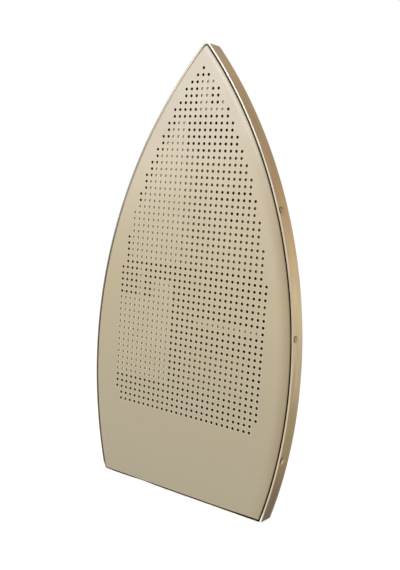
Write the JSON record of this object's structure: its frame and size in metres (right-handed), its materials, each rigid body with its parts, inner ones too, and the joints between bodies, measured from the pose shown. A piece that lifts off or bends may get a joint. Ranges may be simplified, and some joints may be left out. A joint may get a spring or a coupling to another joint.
{
  "type": "steam iron shoe",
  "caption": "Perforated non-stick sole cover for a steam iron, in a bent metal frame, with a toe hood, heel springs, wire bail and pull tab.",
  "frame": {"origin": "middle of the flat heel, on the surface that the shoe stands on", "axes": "+Z from heel to toe, +X across the sole, -Y the way the pressing face looks"},
  "size_m": [0.126, 0.015, 0.228],
  "materials": {
    "non_stick": "matt",
    "bright_aluminium": "satin",
    "dull_aluminium": "dull, heat stained",
    "zinc_steel": "zinc plated",
    "spring_steel": "polished wire",
    "leather": "smooth, dry"
  },
  "bodies": {
    "shoe": {"sole": "non_stick", "heat_plate": "dull_aluminium", "frame": "bright_aluminium", "clamp_strip_left": "dull_aluminium", "clamp_strip_right": "dull_aluminium", "toe_hood": "bright_aluminium", "heel_splice": "dull_aluminium", "side_rivet_left_1": "zinc_steel", "side_rivet_left_2": "zinc_steel", "side_rivet_left_3": "zinc_steel", "side_rivet_right_1": "zinc_steel", "side_rivet_right_2": "zinc_steel", "side_rivet_right_3": "zinc_steel", "heel_rivet_1": "zinc_steel", "heel_rivet_2": "zinc_steel", "spring_anchor_left": "zinc_steel", "spring_anchor_right": "zinc_steel"},
    "springs": {"heel_spring_left": "spring_steel", "heel_spring_right": "spring_steel"},
    "bail": {"heel_bail": "spring_steel"},
    "tab": {"pull_tab": "leather", "tab_rivet": "zinc_steel"}
  },
  "joints": [
    {"name": "spring_swing", "type": "hinge", "parent": "shoe", "child": "springs", "pos_m": [0, 0.0045, 0.0827], "axis": [1, 0, 0], "range_deg": [0, 110]},
    {"name": "bail_pull", "type": "slide", "parent": "springs", "child": "bail", "axis": [0, 0, -1], "range_m": [0, 0.02], "stiffness_N_per_m": 500, "deforming": ["heel_spring_left", "heel_spring_right"]},
    {"name": "tab_swing", "type": "hinge", "parent": "bail", "child": "tab", "pos_m": [0, 0.0045, 0.024], "axis": [1, 0, 0], "range_deg": [0, 150]}
  ]
}
